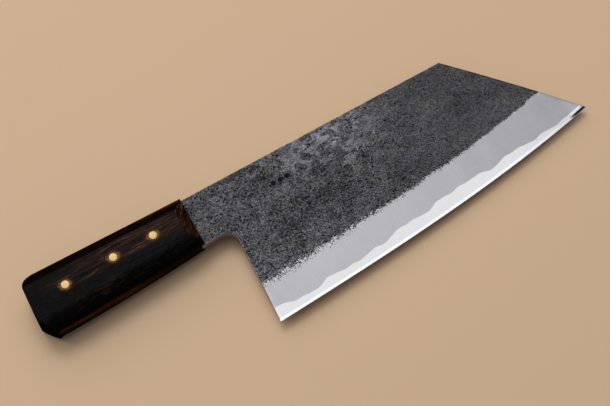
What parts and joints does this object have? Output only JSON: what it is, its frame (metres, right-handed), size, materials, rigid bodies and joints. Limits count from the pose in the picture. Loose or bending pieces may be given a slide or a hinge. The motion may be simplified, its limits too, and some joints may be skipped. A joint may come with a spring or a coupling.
{
  "type": "meat cleaver",
  "caption": "Forged laminated kitchen cleaver with a clipped point, black forge scale, bright ground bevel and a chamfered dark wood handle on brass pins.",
  "frame": {"origin": "centre of the bounding box in X and Y, on the plane that the handle's underside lies in", "axes": "+X along the spine from the butt towards the tip, +Y from the cutting edge towards the spine, +Z the thickness, upwards as the knife lies on its side"},
  "size_m": [0.3216, 0.0892, 0.021],
  "materials": {
    "core_steel": "polished hard core steel, bright at the cutting edge",
    "forged_cladding": "black forge scale on the flats, satin ground bevel",
    "dark_wood": "scorched dark hardwood with brown streaks, satin oil finish",
    "brass": "filed flush and polished"
  },
  "bodies": {
    "root": {"blade_core": "core_steel", "blade_cladding_front": "forged_cladding", "blade_cladding_back": "forged_cladding", "handle_scale_front": "dark_wood", "handle_scale_back": "dark_wood", "pin_butt": "brass", "pin_middle": "brass", "pin_front": "brass"}
  },
  "joints": []
}
